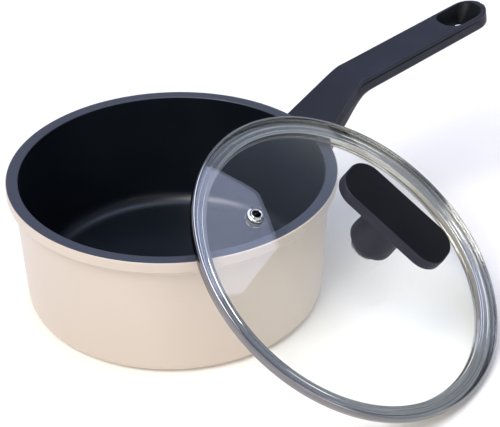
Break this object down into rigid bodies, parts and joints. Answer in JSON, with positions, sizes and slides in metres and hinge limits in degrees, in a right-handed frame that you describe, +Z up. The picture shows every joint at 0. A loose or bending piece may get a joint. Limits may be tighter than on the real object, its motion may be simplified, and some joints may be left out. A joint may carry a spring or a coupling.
{
  "type": "saucepan with glass lid",
  "caption": "Cream saucepan with a dark bent handle and a domed glass lid with steel rim and bar knob, the lid leaning on the pan's rim.",
  "frame": {"origin": "centre of the underside of the pan's base, on the surface that the pan stands on", "axes": "+Z up along the pan's axis; +X from the pan's axis towards the handle's tip; the lid leans on the rim at -65 degrees from the handle"},
  "size_m": [0.3453, 0.3004, 0.1306],
  "materials": {
    "cream_coat": "satin",
    "steel": "satin",
    "bright_steel": "polished",
    "soft_black": "satin",
    "clear_glass": "polished",
    "silicone": "matte",
    "brass": "satin"
  },
  "bodies": {
    "pan": {"pan_body": "cream_coat", "base_plate": "steel", "flame_guard": "steel", "handle": "soft_black", "handle_screw": "steel", "handle_spring_washer": "steel", "handle_washer": "steel"},
    "lid": {"lid_glass": "clear_glass", "lid_rim": "bright_steel", "vent_eyelet": "bright_steel", "vent_washer": "bright_steel", "vent_gasket": "silicone", "knob": "soft_black", "knob_insert": "brass", "knob_gasket": "silicone", "knob_lower_gasket": "silicone", "knob_washer": "steel", "knob_screw": "steel"}
  },
  "joints": [
    {"name": "lid_lift", "type": "slide", "parent": "pan", "child": "lid", "axis": [0, 0, 1], "range_m": [0, 0.15]}
  ]
}
